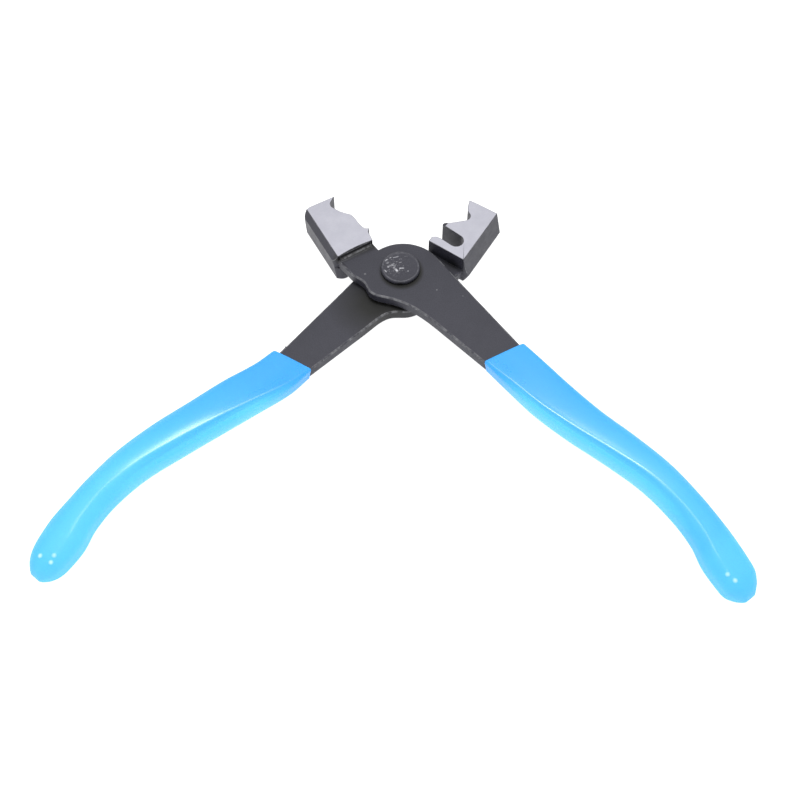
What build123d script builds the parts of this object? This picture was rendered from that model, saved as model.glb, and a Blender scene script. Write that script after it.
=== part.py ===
from build123d import *
import math
import os

os.makedirs("parts", exist_ok=True)

# Hose-clip pliers lying flat and open. Millimetres and degrees.
# Each half is drawn closed, in its own frame: pivot at the origin, jaw along +Y, handle
# along -Y, the half's outer face towards its own +Z and the joint face at z = 0.
# The back half is the same forging turned over, so both halves share one set of functions.

JAW_DEPTH = 13.5          # over the two ground faces of a jaw block
PLATE = 4.5               # thickness of a lever's flat
FACE_GAP = 0.05           # from the joint plane to either lever's inner face
FRONT_OPEN = 38.9         # turn of the front half away from closed
BACK_OPEN = 38.3          # turn of the back half away from closed
EDGE = 0.5                # broken edges round a lever's flat

SHANK_R = 5.0             # rivet shank, tight in the back lever
RUNNING = 0.05            # radial clearance of the shank in the front lever
HEAD_R = 7.65
HEAD_PROUD = 1.6          # front rivet head above the front lever
HEAD_LIFT = 0.05          # running gap under the front rivet head

FRONT_JAW = ((-14.5, 45.0), (-18.6, 18.0))  # widest line of each jaw's outer side,
BACK_JAW = ((-15.0, 45.0), (-19.1, 18.0))   # from its front end to its heel
CHAMFER_DROP = 3.0        # depth of the chamfer beside the outer ground face
CHAMFER_IN = 1.75         # how far that chamfer runs in
FRONT_DRAFT = 0.8         # how far the forged side leans in by the other ground face,
BACK_DRAFT = 2.1          # on the front half and on the back half
HEEL_R = 2.0              # rounding of a jaw block's heel and of its front corner
NOSE_DROP = 1.0           # forged nose beside the slot, below the outer ground face
ROOT_R = 1.9              # hollow rounding where the flat meets the raised ground face

MID = JAW_DEPTH / 2
PLATE_LOW = FACE_GAP
PLATE_TOP = FACE_GAP + PLATE


def turned(angle, side):
    """Frame of one half: side 1 is the front half, side -1 the one turned over."""
    swing = math.radians(angle)
    x_dir = (side * math.cos(swing), math.sin(swing), 0)
    return Plane(origin=(0, 0, MID), x_dir=x_dir, z_dir=(0, 0, side))


FRONT = turned(FRONT_OPEN, 1)
BACK = turned(BACK_OPEN, -1)


def square_to(frame, point, along):
    """Plane through a point of a half's frame, square to a direction in that frame."""
    origin = frame.from_local_coords(Vector(*point))
    reach = frame.from_local_coords(Vector(*point) + Vector(*along))
    return Plane(origin=origin, x_dir=frame.z_dir, z_dir=reach - origin)


def lever_flat(frame, outer, inner, edge):
    """Flat of one lever: round boss, waist and the bar that runs into the grip."""
    with BuildSketch(frame.offset(PLATE_LOW)) as flat:
        with BuildLine():
            Line((-1.0, 19.0), (-0.9, 13.0))
            boss = ThreePointArc((-0.9, 13.0), (8.9, 9.6), (14.4, 1.5))
            bar = Line((outer, -14.0), (outer - 0.8, -60.0))
            Spline(boss @ 1, bar @ 0, tangents=(boss % 1, bar % 0))
            waist = Line((inner + 4.2, -60.0), (inner, -28.0))
            Line(bar @ 1, waist @ 0)
            side = Line((-16.6, 12.0), (-16.8, 19.0))
            Spline(waist @ 1, *edge, side @ 0, tangents=(waist % 1, side % 0))
            Line(side @ 1, (-1.0, 19.0))
        make_face()
    extrude(flat.sketch, amount=PLATE)


def jaw_side(frame, widest, draft):
    """Trim the outer side of a jaw block to its chamfer and its forging draft."""
    tip, heel = widest
    run = (Vector(*heel) - Vector(*tip)).normalized()
    start = Vector(*tip) - run * 6
    ridge = MID - CHAMFER_DROP
    past = 0.5
    top_in = CHAMFER_IN * (CHAMFER_DROP + past) / CHAMFER_DROP
    low_in = draft * (MID + past + ridge) / (MID + ridge)
    with BuildSketch(square_to(frame, (start.X, start.Y, 0), (run.X, run.Y, 0))) as trim:
        with BuildLine():
            Polyline(
                (ridge, 0),
                (MID + past, -top_in),
                (MID + past, 3),
                (-MID - past, 3),
                (-MID - past, -low_in),
                close=True,
            )
        make_face()
    extrude(trim.sketch, amount=42, mode=Mode.SUBTRACT)


def jaw_root(frame):
    """Hollow rounding between the flat's outer face and the back of the jaw block."""
    with BuildSketch(square_to(frame, (-1.9, 16.8, 0), (-14.4, 1.4, 0))) as root:
        with BuildLine():
            Line((PLATE_TOP - 0.5, 1.0), (PLATE_TOP - 0.5, -ROOT_R))
            Line((PLATE_TOP - 0.5, -ROOT_R), (PLATE_TOP, -ROOT_R))
            ThreePointArc(
                (PLATE_TOP, -ROOT_R),
                (PLATE_TOP + 0.293 * ROOT_R, -0.293 * ROOT_R),
                (PLATE_TOP + ROOT_R, 0),
            )
            Line((PLATE_TOP + ROOT_R, 0), (PLATE_TOP + ROOT_R, 1.0))
            Line((PLATE_TOP + ROOT_R, 1.0), (PLATE_TOP - 0.5, 1.0))
        make_face()
    extrude(root.sketch, amount=14.0)


def pivot_hole(frame, radius):
    """Hole for the rivet shank through a lever's flat."""
    with BuildSketch(frame) as hole:
        Circle(radius)
    extrude(hole.sketch, amount=PLATE_TOP + 1, mode=Mode.SUBTRACT)


def handle_loft(frame, stations, inset):
    """Loft rounded sections along a handle, each drawn inset mm inside the grip."""
    sections = []
    for y, x, z, half_width, half_depth, corner in stations:
        with BuildSketch(square_to(frame, (x, y, z), (0, -1, 0))) as section:
            RectangleRounded(
                2 * (half_depth - inset),
                2 * (half_width - inset),
                max(corner - inset, 0.6),
            )
        sections.append(section.sketch)
    loft(sections)


# Grip stations in a half's frame, from the cuff to the tip:
# distance along, centre across, centre in depth, half width, half depth, corner radius.
FRONT_GRIP = [
    (-54.5, 7.1, 2.45, 8.7, 2.95, 1.5),
    (-66.0, 8.2, 2.0, 8.5, 3.7, 2.2),
    (-80.0, 9.8, 1.2, 8.1, 4.5, 3.0),
    (-95.0, 12.2, 0.4, 7.7, 5.2, 3.8),
    (-110.0, 15.6, 0.0, 7.3, 5.5, 4.2),
    (-126.0, 18.1, 0.0, 6.8, 5.7, 4.4),
    (-141.0, 18.1, 0.0, 6.5, 5.9, 4.6),
    (-152.0, 16.8, 0.0, 6.7, 6.1, 4.8),
    (-160.0, 14.8, 0.0, 7.4, 6.3, 4.8),
    (-168.0, 13.3, 0.0, 7.2, 6.0, 4.6),
    (-173.5, 12.4, 0.0, 6.0, 5.0, 3.8),
    (-176.6, 12.0, 0.0, 3.9, 3.6, 2.8),
    (-178.6, 11.8, 0.0, 1.6, 1.8, 1.2),
]
BACK_GRIP = [
    (-56.0, 6.2, 2.45, 8.5, 2.95, 1.5),
    (-66.0, 6.9, 2.0, 8.7, 3.7, 2.2),
    (-80.0, 10.3, 1.2, 8.8, 4.5, 3.0),
    (-95.0, 13.5, 0.4, 8.4, 5.2, 3.8),
    (-110.0, 16.9, 0.0, 8.1, 5.5, 4.2),
    (-126.0, 19.8, 0.0, 7.2, 5.7, 4.4),
    (-140.0, 20.1, 0.0, 6.7, 5.9, 4.6),
    (-151.0, 18.8, 0.0, 6.9, 6.1, 4.8),
    (-159.0, 16.9, 0.0, 7.7, 6.3, 4.8),
    (-166.0, 15.5, 0.0, 7.3, 6.0, 4.6),
    (-171.5, 14.6, 0.0, 6.0, 5.0, 3.8),
    (-175.0, 14.2, 0.0, 3.9, 3.6, 2.8),
    (-177.2, 13.9, 0.0, 1.6, 1.8, 1.2),
]
# Wavy forged edge of each flat, from the waist up to the side of the jaw block.
FRONT_EDGE = [(-7.9, -15.4), (-12.6, -7.4), (-15.4, -3.4), (-15.9, -0.6), (-15.1, 2.6),
              (-15.4, 5.6), (-16.5, 8.8)]
BACK_EDGE = [(-8.7, -15.2), (-13.2, -11.1), (-16.0, -5.1)]
TANG_INSET = 1.5
TANG_STATIONS = 9         # the steel stops short of the grip's tip


with BuildPart() as upper_lever:
    lever_flat(FRONT, 14.8, -4.8, FRONT_EDGE)
    rims = upper_lever.edges().group_by(Axis.Z)
    chamfer(rims[0] + rims[-1], EDGE)
    handle_loft(FRONT, [(-53.0, 6.4, 2.3, 8.0, 3.6, 2.1)] + FRONT_GRIP[1:TANG_STATIONS],
                TANG_INSET)
    with BuildSketch(FRONT.offset(-MID)) as block:
        with BuildLine():
            Polyline((0.0, 43.9), (-10.8, 45.4), *FRONT_JAW)
            ThreePointArc(FRONT_JAW[1], (-9.0, 18.0), (-1.1, 16.6))
            Polyline((-1.1, 16.6), (-0.3, 19.4), (0.1, 21.0), (1.5, 22.2), (0.1, 23.4))
            Spline((0.1, 23.4), (-0.3, 26.0), (0.0, 30.2), (-0.2, 32.4))
            Polyline((-0.2, 32.4), (-1.6, 34.4), (-2.7, 36.3), (-3.9, 39.8))
            ThreePointArc((-3.9, 39.8), (-3.7, 41.3), (-2.4, 42.5))
            Line((-2.4, 42.5), (0.0, 43.9))
        make_face()
        for corner in FRONT_JAW:
            fillet(block.vertices().sort_by_distance(Vector(*corner))[0], HEEL_R)
    extrude(amount=JAW_DEPTH)
    with BuildSketch(FRONT.offset(-MID)) as heel:
        with BuildLine():
            Polyline((-19.4, 22.0), (-9.0, 22.0), (-9.8, 18.0))
            Spline((-9.8, 18.0), (-12.4, 16.6), (-15.4, 16.6), (-17.4, 18.2), (-19.4, 22.0))
        make_face()
    extrude(heel.sketch, amount=MID - FACE_GAP)
    jaw_side(FRONT, FRONT_JAW, FRONT_DRAFT)
    jaw_root(FRONT)
    pivot_hole(FRONT, SHANK_R + RUNNING)
upper_lever.part.label = "upper_lever"
export_step(upper_lever.part, "parts/upper_lever.step")


with BuildPart() as lower_lever:
    lever_flat(BACK, 12.9, -5.6, BACK_EDGE)
    rims = lower_lever.edges().group_by(Axis.Z)
    chamfer(rims[0] + rims[-1], EDGE)
    handle_loft(BACK, [(-53.0, 5.8, 2.3, 8.0, 3.6, 2.1)] + BACK_GRIP[1:TANG_STATIONS],
                TANG_INSET)
    with BuildSketch(BACK.offset(-MID)) as block:
        with BuildLine():
            Polyline((-0.1, 43.1), (-4.9, 43.8), *BACK_JAW, (-8.2, 17.2))
            Polyline((-8.2, 17.2), (-0.6, 16.5), (-0.3, 19.0), (-1.6, 20.2), (-3.6, 20.6))
            Line((-3.6, 20.6), (-8.8, 20.6))
            ThreePointArc((-8.8, 20.6), (-11.7, 23.5), (-8.8, 26.4))
            Line((-8.8, 26.4), (-0.9, 26.4))
            Polyline((-0.9, 26.4), (-0.8, 28.3), (-2.9, 30.8), (-5.7, 34.3))
            ThreePointArc((-5.7, 34.3), (-5.9, 35.9), (-5.1, 37.2))
            Polyline((-5.1, 37.2), (-3.1, 38.2), (-1.6, 40.2), (-0.1, 43.1))
        make_face()
        fillet(block.vertices().sort_by_distance(Vector(*BACK_JAW[1]))[0], HEEL_R)
    extrude(amount=JAW_DEPTH)
    with BuildSketch(BACK.offset(-MID + NOSE_DROP)) as nose:
        with BuildLine():
            Polyline((-2.4, 26.4), (0.2, 26.4), (0.9, 27.2), (0.7, 28.2), (-0.4, 29.2),
                     (-2.4, 30.2), (-2.4, 26.4))
        make_face()
    extrude(nose.sketch, amount=JAW_DEPTH - NOSE_DROP)
    jaw_side(BACK, BACK_JAW, BACK_DRAFT)
    jaw_root(BACK)
    pivot_hole(BACK, SHANK_R)
lower_lever.part.label = "lower_lever"
export_step(lower_lever.part, "parts/lower_lever.step")


with BuildPart() as pivot_rivet:
    with BuildSketch(Plane.XY):
        Circle(HEAD_R)
    extrude(amount=MID - PLATE_TOP)
    with BuildSketch(Plane.XY):
        Circle(SHANK_R)
    extrude(amount=MID + PLATE_TOP + HEAD_LIFT)
    with BuildSketch(Plane.XY.offset(MID + PLATE_TOP + HEAD_LIFT)):
        Circle(HEAD_R)
    extrude(amount=HEAD_PROUD)
    rims = pivot_rivet.edges().filter_by(GeomType.CIRCLE).sort_by(Axis.Z)
    fillet(rims[-1], 0.7)
    fillet(rims[0], 0.6)
pivot_rivet.part.label = "pivot_rivet"
export_step(pivot_rivet.part, "parts/pivot_rivet.step")


with BuildPart() as right_grip:
    handle_loft(FRONT, FRONT_GRIP, 0)
    add(upper_lever.part, mode=Mode.SUBTRACT)
right_grip.part.label = "right_grip"
export_step(right_grip.part, "parts/right_grip.step")


with BuildPart() as left_grip:
    handle_loft(BACK, BACK_GRIP, 0)
    add(lower_lever.part, mode=Mode.SUBTRACT)
left_grip.part.label = "left_grip"
export_step(left_grip.part, "parts/left_grip.step")
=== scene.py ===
import math

import bmesh
import bpy
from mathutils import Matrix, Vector, noise


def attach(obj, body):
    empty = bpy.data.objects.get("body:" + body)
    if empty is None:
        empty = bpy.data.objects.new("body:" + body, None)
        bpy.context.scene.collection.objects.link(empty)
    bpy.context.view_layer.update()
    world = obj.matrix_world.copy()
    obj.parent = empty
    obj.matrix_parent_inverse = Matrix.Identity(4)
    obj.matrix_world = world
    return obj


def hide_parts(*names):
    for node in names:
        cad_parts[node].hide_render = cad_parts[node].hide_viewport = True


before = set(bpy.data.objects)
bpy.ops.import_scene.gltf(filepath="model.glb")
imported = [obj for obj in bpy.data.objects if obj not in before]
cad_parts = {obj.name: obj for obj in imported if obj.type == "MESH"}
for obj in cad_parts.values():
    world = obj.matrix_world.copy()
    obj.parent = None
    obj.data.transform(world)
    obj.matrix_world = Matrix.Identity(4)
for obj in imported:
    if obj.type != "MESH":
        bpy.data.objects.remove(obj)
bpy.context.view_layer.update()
MM = 0.001

# ---------------------------------------------------------------- material nodes


def material(name):
    """A new node material: returns it, its tree and its Principled shader."""
    mat = bpy.data.materials.new(name)
    mat.use_nodes = True
    tree = mat.node_tree
    shader = tree.nodes["Principled BSDF"]
    return mat, tree, shader


def node(tree, kind, **values):
    """One shader node, with its inputs or properties set by name."""
    n = tree.nodes.new(kind)
    for key, value in values.items():
        label = key.replace("_", " ")
        if label in n.inputs:
            n.inputs[label].default_value = value
        else:
            setattr(n, key, value)
    return n


def ramp(tree, source, stops):
    """A colour ramp on source. Stops are (position, grey or colour)."""
    n = tree.nodes.new("ShaderNodeValToRGB")
    elements = n.color_ramp.elements
    while len(elements) < len(stops):
        elements.new(0.5)
    for element, (position, tone) in zip(elements, stops):
        element.position = position
        colour = tone if isinstance(tone, tuple) else (tone, tone, tone)
        element.color = (*colour, 1.0)
    tree.links.new(source, n.inputs["Fac"])
    return n.outputs["Color"]


def mix(tree, fac, a, b, blend="MIX"):
    """Colour mix: a and b are sockets or colours."""
    n = tree.nodes.new("ShaderNodeMix")
    n.data_type = "RGBA"
    n.blend_type = blend
    for socket, value in ((n.inputs[0], fac), (n.inputs[6], a), (n.inputs[7], b)):
        if isinstance(value, bpy.types.NodeSocket):
            tree.links.new(value, socket)
        elif isinstance(value, tuple):
            socket.default_value = (*value, 1.0)
        else:
            socket.default_value = value
    return n.outputs[2]


def grain(tree, scale, detail=4.0, roughness=0.55, stretch=(1, 1, 1), turn=0.0):
    """Noise in the object's own coordinates, in features per metre."""
    coords = tree.nodes.new("ShaderNodeTexCoord")
    place = tree.nodes.new("ShaderNodeMapping")
    place.inputs["Scale"].default_value = stretch
    place.inputs["Rotation"].default_value = (0, 0, turn)
    tree.links.new(coords.outputs["Object"], place.inputs["Vector"])
    n = node(tree, "ShaderNodeTexNoise", Scale=scale, Detail=detail, Roughness=roughness)
    tree.links.new(place.outputs["Vector"], n.inputs["Vector"])
    return n.outputs["Fac"]


def bump(tree, shader, heights):
    """Chain bumps of (height socket, strength, distance in metres)."""
    last = None
    for height, strength, distance in heights:
        n = node(tree, "ShaderNodeBump", Strength=strength, Distance=distance)
        tree.links.new(height, n.inputs["Height"])
        if last is not None:
            tree.links.new(last, n.inputs["Normal"])
        last = n.outputs["Normal"]
    tree.links.new(last, shader.inputs["Normal"])


def spots(tree, places):
    """Mask of soft round marks: each place is (x, y, z, radius, solid share) in mm."""
    coords = tree.nodes.new("ShaderNodeTexCoord")
    total = None
    for x, y, z, radius, core in places:
        away = node(tree, "ShaderNodeVectorMath", operation="DISTANCE")
        away.inputs[1].default_value = (x * MM, y * MM, z * MM)
        tree.links.new(coords.outputs["Object"], away.inputs[0])
        scaled = node(tree, "ShaderNodeMath", operation="DIVIDE")
        scaled.inputs[1].default_value = radius * MM
        tree.links.new(away.outputs["Value"], scaled.inputs[0])
        mark = ramp(tree, scaled.outputs[0], [(core, 1.0), (1.0, 0.0)])
        total = mark if total is None else mix(tree, 1.0, total, mark, "LIGHTEN")
    return total


def black_oxide(name, wear, marks, shade_places):
    """Blackened forged steel: edges and marks rubbed bright, and painted shade, nearly black, at
    the places given last.
    """
    mat, tree, shader = material(name)
    cloud = ramp(tree, grain(tree, 60, 4), [(0.3, (0.0285, 0.0285, 0.0400)),
                                            (0.7, (0.0345, 0.0345, 0.0475))])
    fine = grain(tree, 2400, 3)
    speck = ramp(tree, fine, [(0.35, 0.84), (0.62, 1.14)])
    base = mix(tree, 1.0, cloud, speck, "MULTIPLY")
    # Painted shade: the places given last are darkened nearly to black, where shadow falls.
    base = mix(tree, spots(tree, shade_places), base, (0.0022, 0.0022, 0.0016))
    edge = tree.nodes.new("ShaderNodeAttribute")
    edge.attribute_name = "wear"
    broken = ramp(tree, grain(tree, 420, 6, 0.7), [(0.42, 0.15), (0.62, 1.0)])
    rubbed = mix(tree, 1.0, edge.outputs["Color"], broken, "MULTIPLY")
    dots = mix(tree, 1.0, spots(tree, marks), ramp(tree, grain(tree, 3000, 2),
               [(0.40, 0.2), (0.55, 1.0)]), "MULTIPLY")
    bare = mix(tree, 1.0, rubbed, dots, "LIGHTEN")
    colour = mix(tree, bare, base, (wear, wear, wear * 1.06))
    tree.links.new(colour, shader.inputs["Base Color"])
    rough = ramp(tree, grain(tree, 300, 5), [(0.3, 0.40), (0.7, 0.52)])
    tree.links.new(rough, shader.inputs["Roughness"])
    shader.inputs["Metallic"].default_value = 0.15
    shader.inputs["Specular IOR Level"].default_value = 0.42
    bump(tree, shader, [(fine, 0.30, 0.00003), (grain(tree, 240, 4), 0.30, 0.00009)])
    return mat


def ground_steel(name):
    """Bright surface-ground steel: fine parallel scratches and cloudy patches."""
    mat, tree, shader = material(name)
    lines = grain(tree, 900, 5, 0.6, (1.0, 14.0, 1.0), math.radians(35))
    cloud = grain(tree, 160, 4)
    tone = ramp(tree, cloud, [(0.3, (0.41, 0.41, 0.465)), (0.7, (0.46, 0.46, 0.515))])
    streak = ramp(tree, lines, [(0.35, 0.93), (0.65, 1.05)])
    tree.links.new(mix(tree, 1.0, tone, streak, "MULTIPLY"), shader.inputs["Base Color"])
    rough = ramp(tree, lines, [(0.3, 0.42), (0.7, 0.58)])
    tree.links.new(rough, shader.inputs["Roughness"])
    shader.inputs["Metallic"].default_value = 0.5
    bump(tree, shader, [(lines, 0.25, 0.00003)])
    return mat


def dipped_vinyl(name, drip_glints):
    """Dip-coated vinyl: paler by a vertex attribute that is partly painted light on the inner
    sides, duller by the dull attribute, with painted highlights as pale spots at the drip bumps.
    """
    mat, tree, shader = material(name)
    cloud = grain(tree, 45, 3)
    # deep is the vinyl's blue; pale serves both as painted light on the inner sides and for the
    # paler top towards the tip.
    deep = ramp(tree, cloud, [(0.3, (0.013, 0.355, 0.910)), (0.7, (0.019, 0.375, 0.940))])
    pale = ramp(tree, cloud, [(0.3, (0.092, 0.630, 0.945)), (0.7, (0.106, 0.655, 0.965))])
    tint_and_side_light = tree.nodes.new("ShaderNodeAttribute")
    tint_and_side_light.attribute_name = "tint_and_side_light"
    speck = ramp(tree, grain(tree, 1800, 2), [(0.30, 0.97), (0.65, 1.02)])
    body = mix(tree, tint_and_side_light.outputs["Fac"], deep, pale)
    colour = mix(tree, 1.0, body, speck, "MULTIPLY")
    # Painted highlights: near-white spots at the drip bumps, standing in for lamp glints.
    colour = mix(tree, spots(tree, drip_glints), colour, (0.62, 0.93, 1.0))
    tree.links.new(colour, shader.inputs["Base Color"])
    dull = tree.nodes.new("ShaderNodeAttribute")
    dull.attribute_name = "dull"
    smooth = ramp(tree, grain(tree, 120, 3), [(0.3, 0.25), (0.7, 0.29)])
    rough = mix(tree, dull.outputs["Fac"], smooth, (0.60, 0.60, 0.60))
    tree.links.new(rough, shader.inputs["Roughness"])
    shader.inputs["Specular IOR Level"].default_value = 0.7
    shader.inputs["Subsurface Weight"].default_value = 0.2
    shader.inputs["Subsurface Radius"].default_value = (0.4, 0.8, 1.0)
    shader.inputs["Subsurface Scale"].default_value = 0.0012
    shader.inputs["Coat Weight"].default_value = 0.15
    shader.inputs["Coat Roughness"].default_value = 0.18
    bump(tree, shader, [(grain(tree, 420, 2), 0.10, 0.00012)])
    return mat


# ---------------------------------------------------------------- helpers for shape

JOINT_Z = 6.75  # height of the joint plane between the two levers, mm


def swung(angle, side):
    """Map (x, y, h) of a half to metres: h is height over the joint plane, always up."""
    cos, sin = math.cos(math.radians(angle)), math.sin(math.radians(angle))

    def to_world(x, y, h):
        return Vector((side * (cos * x - sin * y), sin * x + cos * y, JOINT_Z + h)) * MM

    return to_world


FRONT = swung(38.9, 1)
BACK = swung(38.3, -1)


def new_object(name, bm, materials):
    """Turn a bmesh into a linked object with smooth faces."""
    mesh = bpy.data.meshes.new(name)
    for face in bm.faces:
        face.smooth = True
    bm.to_mesh(mesh)
    bm.free()
    for mat in materials:
        mesh.materials.append(mat)
    obj = bpy.data.objects.new(name, mesh)
    bpy.context.scene.collection.objects.link(obj)
    return obj


def paint(mesh, name, values):
    """Store one grey value per vertex as a colour attribute."""
    layer = mesh.attributes.new(name, "FLOAT_COLOR", "POINT")
    flat = []
    for value in values:
        flat += [value, value, value, 1.0]
    layer.data.foreach_set("color", flat)


def smoothstep(low, high, value):
    """Rise from 0 at low to 1 at high, level at both ends."""
    t = min(1.0, max(0.0, (value - low) / (high - low)))
    return t * t * (3 - 2 * t)


def hump(value, centre, width):
    """Bell curve, 1 at its centre."""
    return math.exp(-((value - centre) / width) ** 2)


def fit(keys, at):
    """Smooth curve through rows (position, values...) at one position."""
    n = len(keys)
    i = 0
    while i < n - 2 and (keys[i + 1][0] - at) * (keys[-1][0] - keys[0][0]) < 0:
        i += 1
    out = []
    for column in range(1, len(keys[0])):
        def slope(k):
            a, b = keys[max(0, k - 1)], keys[min(n - 1, k + 1)]
            return (b[column] - a[column]) / (b[0] - a[0])

        x0, x1 = keys[i][0], keys[i + 1][0]
        t = (at - x0) / (x1 - x0)
        p0, p1 = keys[i][column], keys[i + 1][column]
        m0, m1 = slope(i) * (x1 - x0), slope(i + 1) * (x1 - x0)
        out.append((2 * t**3 - 3 * t**2 + 1) * p0 + (t**3 - 2 * t**2 + t) * m0
                   + (3 * t**2 - 2 * t**3) * p1 + (t**3 - t**2) * m1)
    return out


# ---------------------------------------------------------------- steel pieces


def forging(name, source, body, oxide, ground):
    """A lever made from its CAD shape, with every sharp edge worn round."""
    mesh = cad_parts[source].data.copy()
    mesh.name = name
    obj = bpy.data.objects.new(name, mesh)
    bpy.context.scene.collection.objects.link(obj)
    bm = bmesh.new()
    bm.from_mesh(mesh)
    bmesh.ops.remove_doubles(bm, verts=bm.verts, dist=0.004 * MM)
    bmesh.ops.dissolve_limit(bm, angle_limit=math.radians(0.6), verts=bm.verts,
                             edges=bm.edges, delimit=set())
    sharp = [e for e in bm.edges
             if len(e.link_faces) == 2 and e.calc_face_angle(0) > math.radians(22)]
    made = bmesh.ops.bevel(bm, geom=sharp, offset=0.2 * MM, offset_type="OFFSET",
                           segments=3, profile=0.5, affect="EDGES", clamp_overlap=False)
    bm.normal_update()
    strip = set(made["faces"])
    for face in bm.faces:
        around = sum(e.calc_length() for e in face.edges)
        if 0.5 < abs(face.normal.z) < 0.9 and 2 * face.calc_area() / around < 0.8 * MM:
            strip.add(face)
    wear = []
    for vert in bm.verts:
        inside = vert.link_faces and all(f in strip for f in vert.link_faces)
        bend = sum(e.calc_face_angle_signed(0) for e in vert.link_edges if e.is_manifold)
        wear.append(1.0 if inside and bend > 0 else 0.0)
    mesh.materials.clear()
    mesh.materials.append(oxide)
    mesh.materials.append(ground)
    high = max(v.co.z for v in bm.verts) - 0.02 * MM
    low = min(v.co.z for v in bm.verts) + 0.02 * MM
    for face in bm.faces:
        flat = abs(face.normal.z) > 0.995
        z = face.calc_center_median().z
        face.material_index = 1 if flat and (z > high or z < low) else 0
        face.smooth = True
    bm.to_mesh(mesh)
    bm.free()
    paint(mesh, "wear", wear)
    even = obj.modifiers.new("even_normals", "WEIGHTED_NORMAL")
    even.keep_sharp = True
    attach(obj, body)
    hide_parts(source)
    return obj


def spun(profile, height, detail):
    """Turn a (radius, height) profile, mm, round the pivot; detail dents it above height."""
    bm = bmesh.new()
    turns = 144
    rings = []
    for radius, z in profile:
        if radius < 1e-6:
            rings.append([bm.verts.new((0, 0, z * MM))])
            continue
        ring = []
        for i in range(turns):
            angle = 2 * math.pi * i / turns
            x, y = radius * math.cos(angle), radius * math.sin(angle)
            dent = detail(x, y) if z > height else 0.0
            ring.append(bm.verts.new(Vector((x, y, z - dent)) * MM))
        rings.append(ring)
    for upper, lower in zip(rings, rings[1:]):
        for i in range(turns):
            j = (i + 1) % turns
            if len(upper) == 1:
                bm.faces.new((upper[0], lower[i], lower[j]))
            elif len(lower) == 1:
                bm.faces.new((upper[i], lower[0], upper[j]))
            else:
                bm.faces.new((upper[i], lower[i], lower[j], upper[j]))
    bmesh.ops.recalc_face_normals(bm, faces=bm.faces)
    return bm


# Strokes struck into the rivet head, (x, y) to (x, y) and half width, mm from its centre.
STRUCK = [((-2.8, 4.3), (-0.9, 5.0), 0.13), ((-5.2, 1.6), (-4.9, 1.8), 0.35),
          ((-4.8, -0.2), (-2.7, 1.3), 0.30), ((-3.6, 0.9), (-2.2, 0.3), 0.28),
          ((-2.2, -1.0), (-1.2, -2.0), 0.38), ((-2.5, -0.6), (-1.8, -1.2), 0.30),
          ((-0.2, -0.7), (1.2, -0.6), 0.24), ((-4.3, 4.0), (-3.9, 4.3), 0.22),
          ((-6.2, -1.7), (-5.4, -2.6), 0.20), ((1.4, 4.9), (2.4, 5.2), 0.08),
          ((-5.9, 2.8), (-5.2, 3.4), 0.12), ((-0.6, 1.9), (0.3, 2.3), 0.10)]


def struck(x, y):
    """How strongly a point of the rivet head is marked by hammer strokes, 0 to 1."""
    best = 0.0
    for (ax, ay), (bx, by), half in STRUCK:
        dx, dy = bx - ax, by - ay
        t = min(1.0, max(0.0, ((x - ax) * dx + (y - ay) * dy) / (dx * dx + dy * dy)))
        away = math.hypot(x - ax - t * dx, y - ay - t * dy)
        best = max(best, 1 - smoothstep(half * 0.5, half * 1.6, away))
    return best


def hammered(x, y):
    """Depth of the shallow hammer dents on the rivet head, mm."""
    rough = noise.noise(Vector((x * 0.9, y * 0.9, 3.1))) * 0.05
    return rough * (1 - smoothstep(5.6, 6.6, math.hypot(x, y))) + 0.05 * struck(x, y)


HEAD_TOP = 12.95   # height of the rivet's front head, mm
HEAD_SEAT = 11.35  # height of the face it bears on
HEAD_R = 7.65
SHANK_R = 5.02
REAR_DEPTH = 2.2   # depth of the rear head


def rivet_profile():
    """Profile of the rivet from the front head's centre to the rear head's centre."""
    top, seat, radius = HEAD_TOP, HEAD_SEAT, HEAD_R
    rows = [(0.0, top - 0.12)]
    rows += [(0.18 * i, top - 0.12 + 0.06 * (i / 35) ** 2) for i in range(1, 36)]
    rows += [(6.45, top - 0.04), (6.6, top), (6.8, top + 0.01)]
    rows += [(radius - 0.7 + 0.7 * math.sin(math.radians(a)),
              top - 0.7 + 0.7 * math.cos(math.radians(a))) for a in range(12, 91, 13)]
    rows += [(radius, seat + 0.35), (radius - 0.08, seat + 0.1), (radius - 0.3, seat)]
    rows += [(SHANK_R, seat), (SHANK_R, REAR_DEPTH), (radius, REAR_DEPTH)]
    rows += [(radius - 0.6 + 0.6 * math.cos(math.radians(a)),
              0.6 - 0.6 * math.sin(math.radians(a))) for a in range(0, 91, 15)]
    rows += [(0.5 * i, 0.0) for i in range(13, 0, -1)] + [(0.0, 0.0)]
    return rows


# Painted shade, as places for spots: darkening in the hollow at the jaw's root, and a painted
# shadow round the rivet head, offset to its near side.
root_shade = [(-24.1 + 1.26 * i, 4.3 + 0.69 * i, 11.7, 2.9, 0.2) for i in range(11)]
head_shadow = (0.4, -1.1, 11.3, 9.0, 0.84)
front_oxide = black_oxide("front_oxide", 0.17,
                          [(-13.7, -2.7, 11.3, 0.55, 0.4), (14.3, -9.6, 11.3, 0.4, 0.4),
                           (24.3, -12.2, 11.3, 0.3, 0.4)],
                          root_shade + [head_shadow])
# The back lever's dark places are painted shade: darkening beside the joint where the front
# lever's shadow falls, and a small patch at the right jaw's heel.
back_oxide = black_oxide("back_oxide", 0.17, [(30.0, 24.0, 13.0, 0.6, 0.4)],
                         [(-9.5, -13.0, 6.7, 19.0, 0.25), (-1.7, -14.3, 6.7, 11.0, 0.2),
                          (21.4, 8.1, 6.0, 6.0, 0.12)])
ground = ground_steel("ground_steel")
forging("front_forging", "upper_lever", "front_half", front_oxide, ground)
forging("back_forging", "lower_lever", "back_half", back_oxide, ground)

# The rivet's dark place is painted shade: darkening on the head's near edge where it meets the
# lever.
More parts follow.
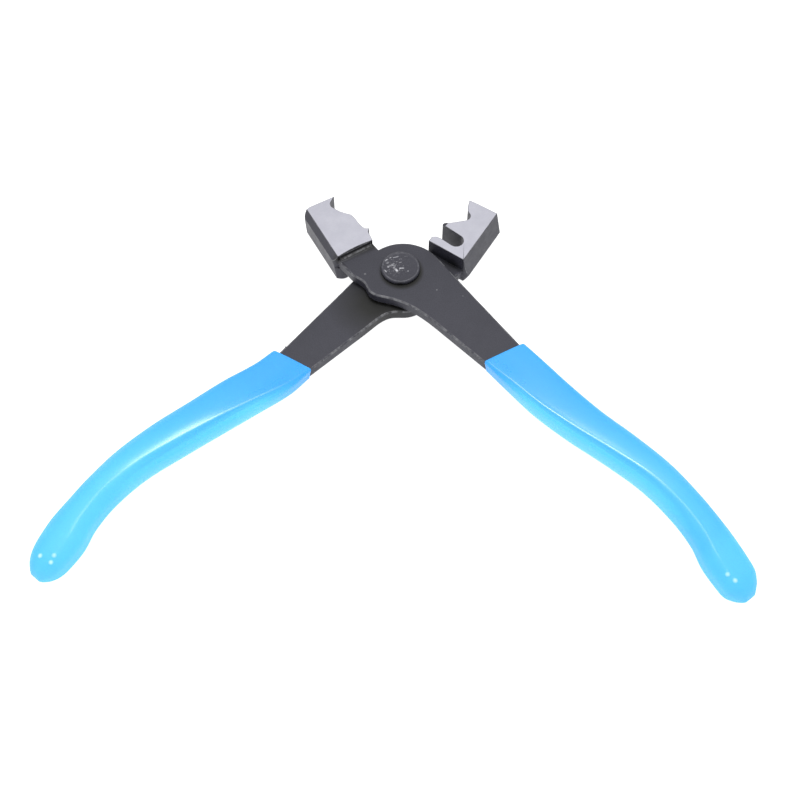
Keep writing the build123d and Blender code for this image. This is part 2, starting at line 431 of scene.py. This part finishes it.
rivet_oxide = black_oxide("rivet_oxide", 0.62, [(3.0, -2.0, 12.9, 0.3, 0.3)],
                          [(0.0, -8.6, 11.2, 2.6, 0.3)])
rivet = new_object("rivet_body", spun(rivet_profile(), HEAD_TOP - 0.45, hammered), [rivet_oxide])
worn = []
for v in rivet.data.vertices:
    x, y, z = v.co / MM
    r = math.hypot(x, y)
    left = hump(x, -2.6, 3.6) * hump(y, 0.6, 3.8)
    dust = smoothstep(0.34, 0.50, noise.noise(Vector((x * 2.3, y * 2.3, 7.7)))) * left
    # Painted highlight: a bright ring where the head's edge starts to round, kept with the
    # struck marks and flecks in the wear attribute.
    rim_highlight = 0.27 * hump(r, 6.95, 0.25) * (0.45 + 0.55 * abs(noise.noise(Vector((x, y, 0)))))
    worn.append(max(struck(x, y), 0.8 * dust, rim_highlight) if z > 12.2 else 0.0)
paint(rivet.data, "wear", worn)
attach(rivet, "back_half")
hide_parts("pivot_rivet")

# ---------------------------------------------------------------- dipped grips

# Rows along each handle, mm: distance along, inner edge, outer edge, height of the
# section's middle, half depth, radius of the upper inner corner, radius of the others.
RIGHT_ROWS = [
    (-54.5, -1.6, 15.8, 2.45, 2.95, 1.2, 1.5),
    (-66.0, -0.7, 16.7, 1.9, 3.8, 2.4, 2.2),
    (-80.0, 0.8, 17.9, 1.1, 4.6, 3.2, 3.0),
    (-95.0, 4.0, 19.9, 0.4, 5.2, 3.7, 3.8),
    (-110.0, 8.1, 22.9, 0.0, 5.5, 4.1, 4.2),
    (-126.0, 11.3, 24.9, 0.0, 5.7, 4.8, 4.4),
    (-141.0, 11.6, 24.6, 0.0, 5.9, 4.8, 4.6),
    (-152.0, 10.1, 23.5, 0.0, 6.1, 4.6, 4.8),
    (-160.0, 7.4, 22.2, 0.0, 6.3, 4.8, 4.8),
    (-168.0, 6.1, 20.5, 0.0, 6.0, 4.4, 4.4),
    (-172.5, 5.8, 19.4, -0.1, 5.5, 4.4, 4.4),
    (-175.6, 7.2, 17.4, -0.3, 4.3, 3.7, 3.7),
    (-177.6, 8.8, 15.2, -0.5, 2.5, 2.3, 2.3),
    (-178.4, 9.8, 14.0, -0.6, 0.7, 0.6, 0.6),
]
LEFT_ROWS = [
    (-56.0, -2.3, 14.7, -2.45, 2.95, 1.2, 1.5),
    (-66.0, -1.8, 15.6, -2.0, 3.7, 2.6, 2.2),
    (-80.0, 1.5, 19.1, -1.2, 4.5, 3.8, 3.0),
    (-95.0, 5.1, 21.9, -0.4, 5.2, 4.6, 3.8),
    (-110.0, 8.8, 25.0, 0.0, 5.5, 5.0, 4.2),
    (-126.0, 12.6, 27.0, 0.0, 5.7, 5.0, 4.4),
    (-140.0, 13.4, 26.8, 0.0, 5.9, 5.0, 4.6),
    (-151.0, 11.9, 25.7, 0.0, 6.1, 4.6, 4.8),
    (-159.0, 9.2, 24.6, 0.0, 6.3, 4.8, 4.8),
    (-166.0, 8.2, 22.8, 0.0, 6.0, 4.4, 4.4),
    (-170.5, 8.1, 21.3, -0.1, 5.6, 4.4, 4.4),
    (-174.0, 9.2, 19.4, -0.3, 4.4, 3.7, 3.7),
    (-176.2, 10.8, 17.2, -0.5, 2.5, 2.3, 2.3),
    (-177.0, 11.8, 16.0, -0.6, 0.7, 0.6, 0.6),
]


def rounded_section(half_w, half_d, ridge_r, corner_r):
    """Points (x, h, nx, nh) round a section, with the outward normal at each."""
    corners = [(1, 1, corner_r), (-1, 1, ridge_r), (-1, -1, corner_r), (1, -1, corner_r)]
    points = []
    corners = [(sx, sh, min(r, half_w * 0.98, half_d * 0.98)) for sx, sh, r in corners]
    for k, (sx, sh, r) in enumerate(corners):
        cx, ch = sx * (half_w - r), sh * (half_d - r)
        start = math.radians((0, 90, 180, 270)[k])
        steps = 36 if k == 1 else 12
        for i in range(steps + 1):
            a = start + math.radians(90) * i / steps
            nx, nh = math.cos(a), math.sin(a)
            points.append((cx + r * nx, ch + r * nh, nx, nh))
        sx2, sh2, r2 = corners[(k + 1) % 4]
        ex, eh = sx2 * (half_w - r2) + r2 * nx, sh2 * (half_d - r2) + r2 * nh
        px, ph = points[-1][:2]
        for i in range(1, 12):
            t = i / 12
            points.append((px + (ex - px) * t, ph + (eh - ph) * t, nx, nh))
    return points


def grip(name, source, body, to_world, rows, cuff, crest, top_pale, nubs, mat):
    """A dipped grip: lofted sections with a crown, a moulded ridge and a rolled cuff.

    cuff is where the cuff's edge crosses the inner and outer edge, crest the heights of the
    ridge and the crown, top_pale how much paler the top gets towards the tip, and nubs the drip
    bumps at the tip.
    """
    start, end = rows[0][0], rows[-1][0]
    inner_y, outer_y = cuff
    steps = [start - 0.6 * i for i in range(1, 190) if start - 0.6 * i > end + 12]
    steps += [end + 12 * (1 - i / 40) for i in range(1, 41)]
    rings = [(start, d, lead) for d, lead in
             ((2.4, -2.5), (1.5, -0.3), (1.0, 0.0), (0.55, 0.0), (0.3, -0.06),
              (0.12, -0.2), (0.03, -0.36), (0.0, -0.55))]
    rings += [(y, 0.0, None) for y in steps if y < start - 0.9]
    bm = bmesh.new()
    loops, tint_and_side_light, dull = [], [], []
    for y, inset, lead in rings:
        inner, outer, mid, half_d, ridge_r, corner_r = fit(rows, y)
        half_w, centre = (outer - inner) / 2, (outer + inner) / 2
        section = rounded_section(half_w - inset, half_d - inset,
                                  max(0.3, ridge_r - inset), max(0.3, corner_r - inset))
        along = start - y
        fade = smoothstep(8, 26, along) * (1 - smoothstep(66, 92, along))
        crown = 0.2 + crest[1] * smoothstep(5, 55, along)
        close = smoothstep(0, 14, y - end)
        loop = []
        for x, h, nx, nh in section:
            u = x / half_w
            down = half_d - inset - h
            inner_face = max(0.0, -nx)
            bulge = 0.0
            if h > 0:
                bulge -= crown * u * u * max(0.0, nh) * close
            rise = math.degrees(math.atan2(nh, -nx)) if nx < 0.02 else 180.0
            ridge = crest[0] * hump(rise, 74, 13)
            groove = 0.20 * hump(rise, 50, 7)
            belly = 0.30 * hump(down, half_d + 0.6, 2.2) * inner_face
            swell = (ridge + belly - groove) * fade
            drop = nh * bulge
            slant = inner_y + (outer_y - inner_y) * (u + 1) / 2 - start
            slant *= 1 - smoothstep(0, 7, along)
            if along < 3:
                slant -= 1.6 * inner_face * min(1.0, down / 5.0) * (1 - along / 3)
            place = y + slant + (lead if lead is not None else 0.0)
            for bx, by in nubs:
                swell += 0.25 * max(0.0, nh) * hump(math.hypot(centre + x - bx, y - by), 0, 0.8)
            loop.append(bm.verts.new(to_world(centre + x + nx * swell, place,
                                              mid + h + nh * swell + drop)))
            # Painted light: the inner side is made paler where it faces the floor and lamp, less
            # so near the tip; the top is paler towards the tip, less so at the outer edge, and
            # the tip's end paler still.
            side = smoothstep(0.0, 0.9, -nx) * smoothstep(0, 26, along)
            side *= 1 - 0.7 * smoothstep(75, 108, along)
            top = top_pale * smoothstep(4, 85, along) * (1 - 0.35 * smoothstep(-0.2, 1, u))
            tint_and_side_light.append(max(0.85 * side, top, 0.6 * smoothstep(88, 108, along)))
            dull.append(max(smoothstep(62, 90, along), 0.7 * smoothstep(-0.5, 0.5, u)))
        loops.append(loop)
    for a, b in zip(loops, loops[1:]):
        for i in range(len(a)):
            j = (i + 1) % len(a)
            bm.faces.new((a[i], b[i], b[j], a[j]))
    bm.faces.new(loops[-1])
    bmesh.ops.recalc_face_normals(bm, faces=bm.faces)
    bm.verts.index_update()
    obj = new_object(name, bm, [mat])
    paint(obj.data, "tint_and_side_light", tint_and_side_light)
    paint(obj.data, "dull", dull)
    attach(obj, body)
    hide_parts(source)
    return obj


# Drip bumps on each tip, mm; the same places also get painted highlights in the vinyl's colour.
RIGHT_DRIPS = [(9.2, -168.5), (9.6, -171.6)]
LEFT_DRIPS = [(15.6, -171.3), (12.0, -168.2), (11.0, -170.6)]
drip_glints = [tuple(to_world(x, y, 5.4) / MM) + (1.0, 0.1)
         for to_world, tips in ((FRONT, RIGHT_DRIPS), (BACK, LEFT_DRIPS)) for x, y in tips]
vinyl = dipped_vinyl("dipped_vinyl", drip_glints)
grip("right_dip", "right_grip", "front_half", FRONT, RIGHT_ROWS,
     (-52.9, -55.6), (0.10, 0.6), 0.45, RIGHT_DRIPS, vinyl)
grip("left_dip", "left_grip", "back_half", BACK, LEFT_ROWS,
     (-54.4, -57.2), (0.05, 1.5), 0.75, LEFT_DRIPS, vinyl)

# ---------------------------------------------------------------- stage, light, camera

floor_mesh = bpy.data.meshes.new("floor")
bm = bmesh.new()
bmesh.ops.create_grid(bm, x_segments=8, y_segments=8, size=3.0)
bm.to_mesh(floor_mesh)
bm.free()
floor = bpy.data.objects.new("floor", floor_mesh)
bpy.context.scene.collection.objects.link(floor)
mat, tree, shader = material("pale_floor")
tone = ramp(tree, grain(tree, 6, 2), [(0.3, 0.36), (0.7, 0.38)])
tree.links.new(tone, shader.inputs["Base Color"])
shader.inputs["Roughness"].default_value = 0.9
shader.inputs["Specular IOR Level"].default_value = 0.1
shader.inputs["Emission Color"].default_value = (1, 1, 1, 1)
shader.inputs["Emission Strength"].default_value = 0.95
floor_mesh.materials.append(mat)
floor.location.z = -0.05 * MM

world = bpy.data.worlds.new("studio")
world.use_nodes = True
bpy.context.scene.world = world
wt = world.node_tree
sky = wt.nodes["Background"]
sky.inputs["Strength"].default_value = 1.0
coords = wt.nodes.new("ShaderNodeTexCoord")
split = wt.nodes.new("ShaderNodeSeparateXYZ")
wt.links.new(coords.outputs["Generated"], split.inputs["Vector"])
tent = ramp(wt, split.outputs["Z"], [(0.0, 0.9), (0.35, 0.95), (0.75, 0.92), (1.0, 1.0)])
wt.links.new(tent, sky.inputs["Color"])


def softbox(name, place, aim, size, power):
    """A square area light at a place, aimed at a point, in metres and watts."""
    light = bpy.data.lights.new(name, "AREA")
    light.shape = "RECTANGLE"
    light.size, light.size_y = size
    light.energy = power
    obj = bpy.data.objects.new(name, light)
    bpy.context.scene.collection.objects.link(obj)
    obj.location = place
    obj.rotation_euler = (Vector(aim) - Vector(place)).to_track_quat("-Z", "Y").to_euler()
    return obj


softbox("overhead", (0.0, 0.17, 0.90), (0, -0.05, 0), (0.20, 0.20), 2.8)

camera = bpy.data.objects.new("camera", bpy.data.cameras.new("camera"))
bpy.context.scene.collection.objects.link(camera)
camera.data.lens = 56.25
camera.data.sensor_width = 36.0
camera.data.clip_start = 0.01
camera.location = (0.0078, -0.2956, 0.4002)
look = Vector((-0.0140, 0.5189, -0.8547)).normalized()
camera.rotation_euler = look.to_track_quat("-Z", "Y").to_euler()
bpy.context.scene.camera = camera
bpy.context.scene.view_settings.view_transform = "Standard"
